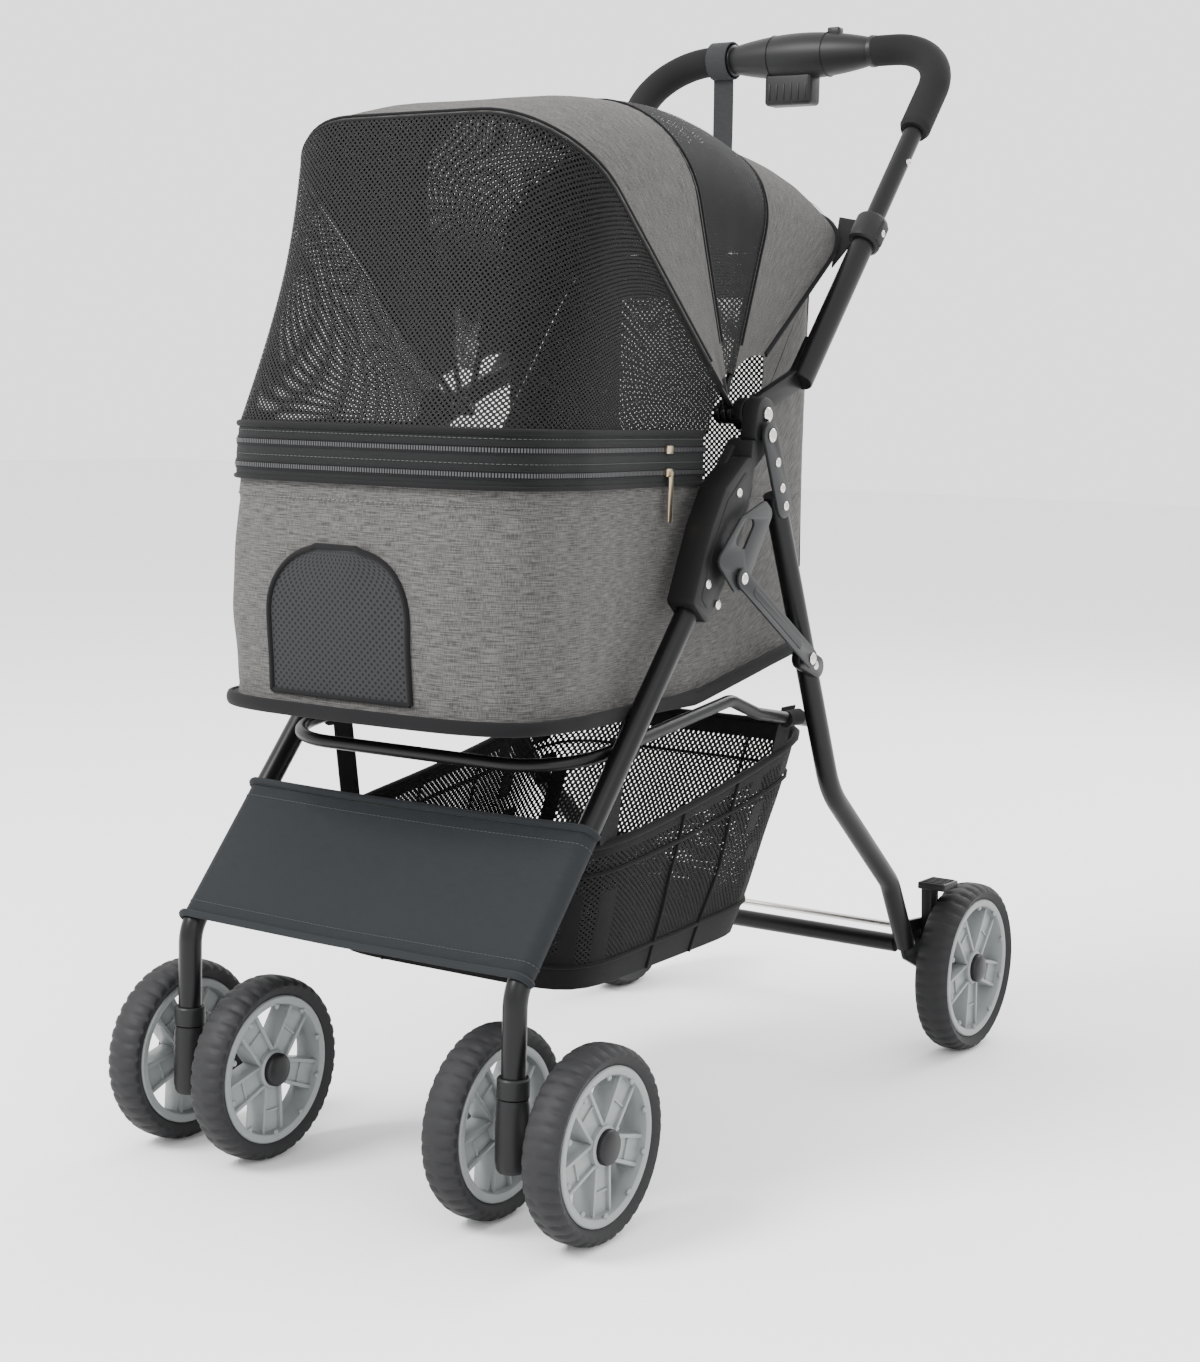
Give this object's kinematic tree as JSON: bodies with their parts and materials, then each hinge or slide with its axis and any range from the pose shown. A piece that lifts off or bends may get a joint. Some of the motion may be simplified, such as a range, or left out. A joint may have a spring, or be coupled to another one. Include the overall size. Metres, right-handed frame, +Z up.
{
  "type": "pet stroller",
  "caption": "Folding pet stroller with a cloth cabin, mesh canopy, swivelling front casters, braked rear wheels, basket and telescoping push handle.",
  "frame": {"origin": "middle of the wheelbase box on the floor, halfway across and halfway along the stroller", "axes": "+Z up from the floor, +Y from the front wheels to the handle, +X across to the stroller's side that is nearer in the main view"},
  "size_m": [0.45, 0.83, 0.9933],
  "materials": {
    "black_paint": "semi-gloss black powder coat",
    "black_plastic": "satin black moulded plastic",
    "grey_steel_plate": "dark grey coated steel plate",
    "rim_plastic": "mid grey moulded plastic",
    "tyre_rubber": "matt black foamed tyre",
    "foam_grip": "matt black closed-cell foam",
    "heather_cloth": "grey heather woven polyester",
    "slate_cloth": "slate grey plain woven polyester",
    "black_cloth": "black woven polyester",
    "black_mesh": "black knitted mesh",
    "bright_steel": "bright plated steel"
  },
  "bodies": {
    "front_frame": {"front_leg_frame": "black_paint", "foot_panel": "slate_cloth", "hinge_housing_left": "black_plastic", "hinge_housing_right": "black_plastic", "front_rim_hoop": "black_paint", "floor_board": "black_cloth", "cabin_walls": "heather_cloth", "zip_band": "black_cloth", "basket": "black_cloth", "basket_hoop": "black_paint", "canopy_bow_rear": "black_paint", "canopy_rear_panel": "heather_cloth"},
    "floor_mat": {"floor_mat": "heather_cloth"},
    "rear_frame": {"rear_leg_left": "black_paint", "rear_leg_right": "black_paint", "rear_leg_plate_left": "grey_steel_plate", "rear_leg_plate_right": "grey_steel_plate", "rear_cross_bar": "black_paint"},
    "brake": {"brake_pedal_left": "black_plastic", "brake_pedal_right": "black_plastic", "brake_rod": "bright_steel"},
    "lower_handle": {"lower_handle_left": "black_paint", "lower_handle_right": "black_paint", "handle_clamp_left": "black_plastic", "handle_clamp_right": "black_plastic"},
    "upper_handle": {"upper_handle": "black_paint", "foam_grip_left": "foam_grip", "foam_grip_right": "foam_grip", "release_housing": "black_plastic"},
    "fold_trigger": {"fold_trigger": "black_plastic"},
    "safety_slider": {"safety_slider": "black_plastic"},
    "snap_button_left": {"snap_button_left": "bright_steel"},
    "snap_button_right": {"snap_button_right": "bright_steel"},
    "wrist_strap": {"wrist_strap": "slate_cloth"},
    "canopy_middle": {"canopy_bow_middle": "black_paint", "canopy_sky_mesh": "black_mesh"},
    "canopy_front": {"canopy_bow_front": "black_paint", "canopy_front_panel": "heather_cloth", "canopy_front_mesh": "black_mesh"},
    "caster_left": {"caster_fork_left": "black_plastic"},
    "front_wheel_left_inner": {"front_tyre_left_inner": "tyre_rubber", "front_rim_left_inner": "rim_plastic"},
    "front_wheel_left_outer": {"front_tyre_left_outer": "tyre_rubber", "front_rim_left_outer": "rim_plastic"},
    "rear_wheel_left": {"rear_tyre_left": "tyre_rubber", "rear_rim_left": "rim_plastic"},
    "hook_left": {"hook_plate_left": "grey_steel_plate"},
    "link_left": {"link_bar_left": "grey_steel_plate"},
    "caster_right": {"caster_fork_right": "black_plastic"},
    "front_wheel_right_inner": {"front_tyre_right_inner": "tyre_rubber", "front_rim_right_inner": "rim_plastic"},
    "front_wheel_right_outer": {"front_tyre_right_outer": "tyre_rubber", "front_rim_right_outer": "rim_plastic"},
    "rear_wheel_right": {"rear_tyre_right": "tyre_rubber", "rear_rim_right": "rim_plastic"},
    "hook_right": {"hook_plate_right": "grey_steel_plate"},
    "link_right": {"link_bar_right": "grey_steel_plate"}
  },
  "joints": [
    {"name": "handle_fold", "type": "hinge", "parent": "front_frame", "child": "lower_handle", "pos_m": [0, -0.055, 0.62], "axis": [1, 0, 0], "range_deg": [0, 165], "deforming": ["cabin_walls"]},
    {"name": "rear_leg_fold", "type": "hinge", "parent": "front_frame", "child": "rear_frame", "pos_m": [0, -0.057, 0.603], "axis": [1, 0, 0], "range_deg": [-38.5, 0]},
    {"name": "handle_height", "type": "slide", "parent": "lower_handle", "child": "upper_handle", "axis": [0, 0.6494, 0.7604], "range_m": [-0.045, 0]},
    {"name": "fold_trigger_squeeze", "type": "slide", "parent": "upper_handle", "child": "fold_trigger", "axis": [0, 0, 1], "range_m": [0, 0.0055], "stiffness_N_per_m": 400, "springref_m": -0.003},
    {"name": "safety_slide", "type": "slide", "parent": "upper_handle", "child": "safety_slider", "axis": [1, 0, 0], "range_m": [0, 0.006], "stiffness_N_per_m": 150, "springref_m": -0.002},
    {"name": "snap_button_press_left", "type": "slide", "parent": "upper_handle", "child": "snap_button_left", "axis": [1, 0, 0], "range_m": [0, 0.0024], "stiffness_N_per_m": 400, "springref_m": -0.002},
    {"name": "snap_button_press_right", "type": "slide", "parent": "upper_handle", "child": "snap_button_right", "axis": [-1, 0, 0], "range_m": [0, 0.0024], "stiffness_N_per_m": 400, "springref_m": -0.002},
    {"name": "strap_swing", "type": "hinge", "parent": "upper_handle", "child": "wrist_strap", "pos_m": [0, 0.30342, 0.96813], "axis": [1, 0, 0], "range_deg": [-10, 60]},
    {"name": "canopy_middle_fold", "type": "hinge", "parent": "front_frame", "child": "canopy_middle", "pos_m": [0, -0.055, 0.62], "axis": [1, 0, 0], "range_deg": [-34, 0], "deforming": ["canopy_sky_mesh"]},
    {"name": "canopy_front_fold", "type": "hinge", "parent": "canopy_middle", "child": "canopy_front", "pos_m": [0, -0.055, 0.62], "axis": [1, 0, 0], "range_deg": [-21.1, 0], "deforming": ["canopy_front_panel", "canopy_front_mesh"]},
    {"name": "mat_lift", "type": "slide", "parent": "front_frame", "child": "floor_mat", "axis": [0, 0, 1], "range_m": [0, 0.1]},
    {"name": "brake_press", "type": "hinge", "parent": "rear_frame", "child": "brake", "pos_m": [0, 0.3, 0.12], "axis": [1, 0, 0], "range_deg": [-14, 0]},
    {"name": "caster_swivel_left", "type": "hinge", "parent": "front_frame", "child": "caster_left", "pos_m": [-0.163, -0.379, 0.1], "axis": [0, 0, 1], "continuous": true},
    {"name": "front_wheel_spin_left_inner", "type": "hinge", "parent": "caster_left", "child": "front_wheel_left_inner", "pos_m": [-0.117, -0.339, 0.076], "axis": [1, 0, 0], "continuous": true},
    {"name": "front_wheel_spin_left_outer", "type": "hinge", "parent": "caster_left", "child": "front_wheel_left_outer", "pos_m": [-0.209, -0.339, 0.076], "axis": [1, 0, 0], "continuous": true},
    {"name": "rear_wheel_spin_left", "type": "hinge", "parent": "rear_frame", "child": "rear_wheel_left", "pos_m": [-0.2013, 0.3325, 0.0825], "axis": [1, 0, 0], "continuous": true},
    {"name": "hook_release_left", "type": "hinge", "parent": "front_frame", "child": "hook_left", "pos_m": [0, -0.108, 0.487], "axis": [1, 0, 0], "range_deg": [0, 15], "stiffness_Nm_per_rad": 0.5, "springref_deg": -11.46},
    {"name": "link_fold_left", "type": "hinge", "parent": "rear_frame", "child": "link_left", "pos_m": [0, 0.014, 0.412], "axis": [1, 0, 0], "range_deg": [-10.6, 0]},
    {"name": "caster_swivel_right", "type": "hinge", "parent": "front_frame", "child": "caster_right", "pos_m": [0.163, -0.379, 0.1], "axis": [0, 0, 1], "continuous": true},
    {"name": "front_wheel_spin_right_inner", "type": "hinge", "parent": "caster_right", "child": "front_wheel_right_inner", "pos_m": [0.117, -0.339, 0.076], "axis": [1, 0, 0], "continuous": true},
    {"name": "front_wheel_spin_right_outer", "type": "hinge", "parent": "caster_right", "child": "front_wheel_right_outer", "pos_m": [0.209, -0.339, 0.076], "axis": [1, 0, 0], "continuous": true},
    {"name": "rear_wheel_spin_right", "type": "hinge", "parent": "rear_frame", "child": "rear_wheel_right", "pos_m": [0.2013, 0.3325, 0.0825], "axis": [1, 0, 0], "continuous": true},
    {"name": "hook_release_right", "type": "hinge", "parent": "front_frame", "child": "hook_right", "pos_m": [0, -0.108, 0.487], "axis": [1, 0, 0], "range_deg": [0, 15], "stiffness_Nm_per_rad": 0.5, "springref_deg": -11.46},
    {"name": "link_fold_right", "type": "hinge", "parent": "rear_frame", "child": "link_right", "pos_m": [0, 0.014, 0.412], "axis": [1, 0, 0], "range_deg": [-10.6, 0]}
  ],
  "couplings": [
    {"joint": "rear_leg_fold", "follows": "handle_fold", "ratio": -0.23},
    {"joint": "link_fold_left", "follows": "handle_fold", "ratio": -0.063},
    {"joint": "link_fold_right", "follows": "handle_fold", "ratio": -0.063},
    {"joint": "canopy_front_fold", "follows": "canopy_middle_fold", "ratio": 0.6176},
    {"joint": "hook_release_right", "follows": "hook_release_left", "ratio": 1}
  ]
}
